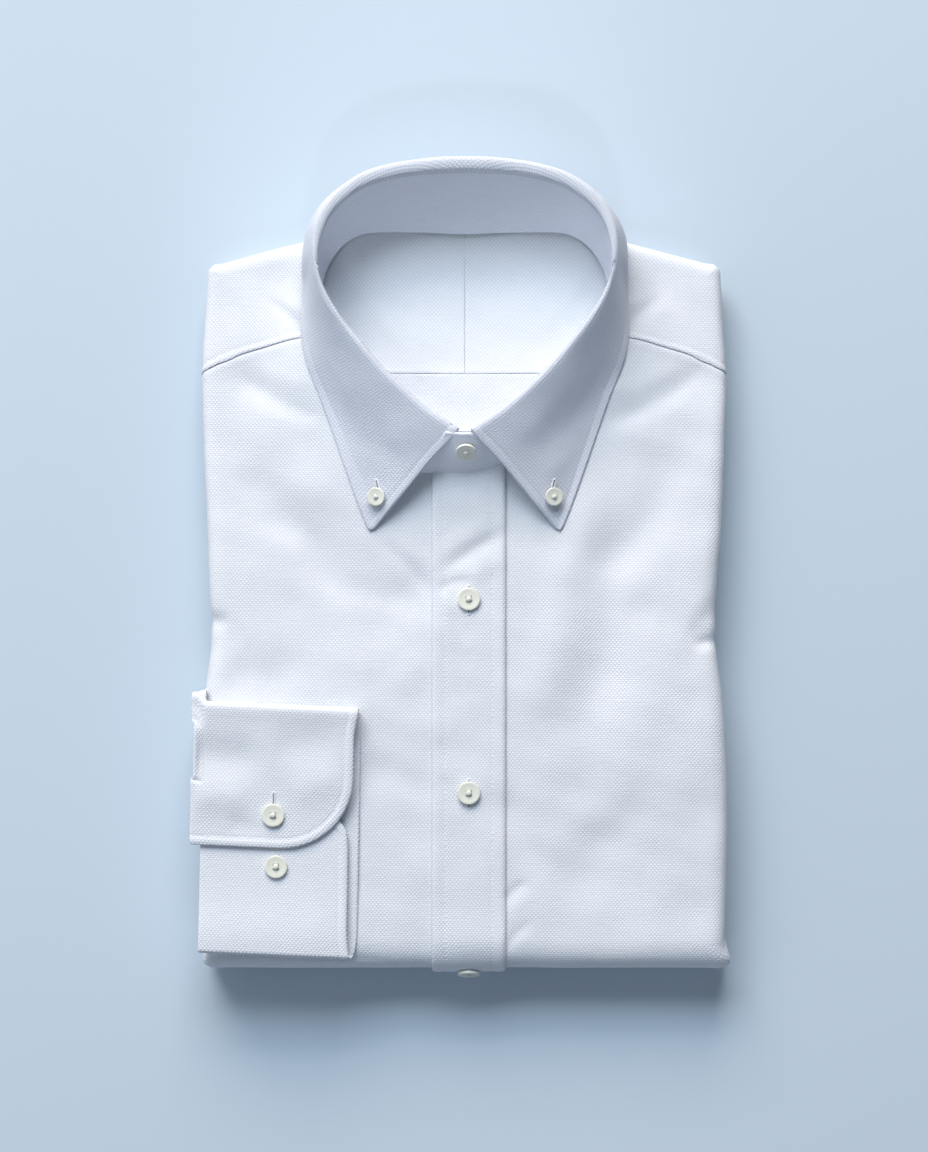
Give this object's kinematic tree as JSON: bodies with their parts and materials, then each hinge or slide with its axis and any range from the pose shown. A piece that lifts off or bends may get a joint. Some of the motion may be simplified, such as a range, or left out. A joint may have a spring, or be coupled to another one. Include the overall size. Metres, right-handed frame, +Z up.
{
  "type": "folded dress shirt",
  "caption": "Long-sleeved button-down dress shirt, folded flat and lying face up, with a rolled collar, front placket and one cuff laid over the front.",
  "frame": {"origin": "on the surface that the shirt lies on, under the middle of its whole outline", "axes": "+Z up out of the surface, +Y from the lower fold to the collar, +X to the right of someone looking down on the shirt's face"},
  "size_m": [0.2426, 0.3676, 0.0567],
  "materials": {
    "cloth": "matte white oxford weave",
    "inner_cloth": "matte white oxford weave, inside face",
    "hidden_cloth": "matte white folded cloth edges",
    "button": "pearly cream, glossy"
  },
  "bodies": {
    "root": {"folded_layers": "hidden_cloth", "front_left": "cloth", "front_right": "cloth", "placket": "cloth", "yoke_left": "cloth", "yoke_right": "cloth", "inner_yoke_left": "inner_cloth", "inner_yoke_right": "inner_cloth", "back_panel": "inner_cloth", "collar_stand": "inner_cloth", "collar_leaf": "cloth", "cuff": "cloth", "sleeve": "cloth", "button_neck": "button", "button_placket_1": "button", "button_placket_2": "button", "button_placket_3": "button", "button_collar_left": "button", "button_collar_right": "button", "button_cuff_1": "button", "button_cuff_2": "button"}
  },
  "joints": []
}
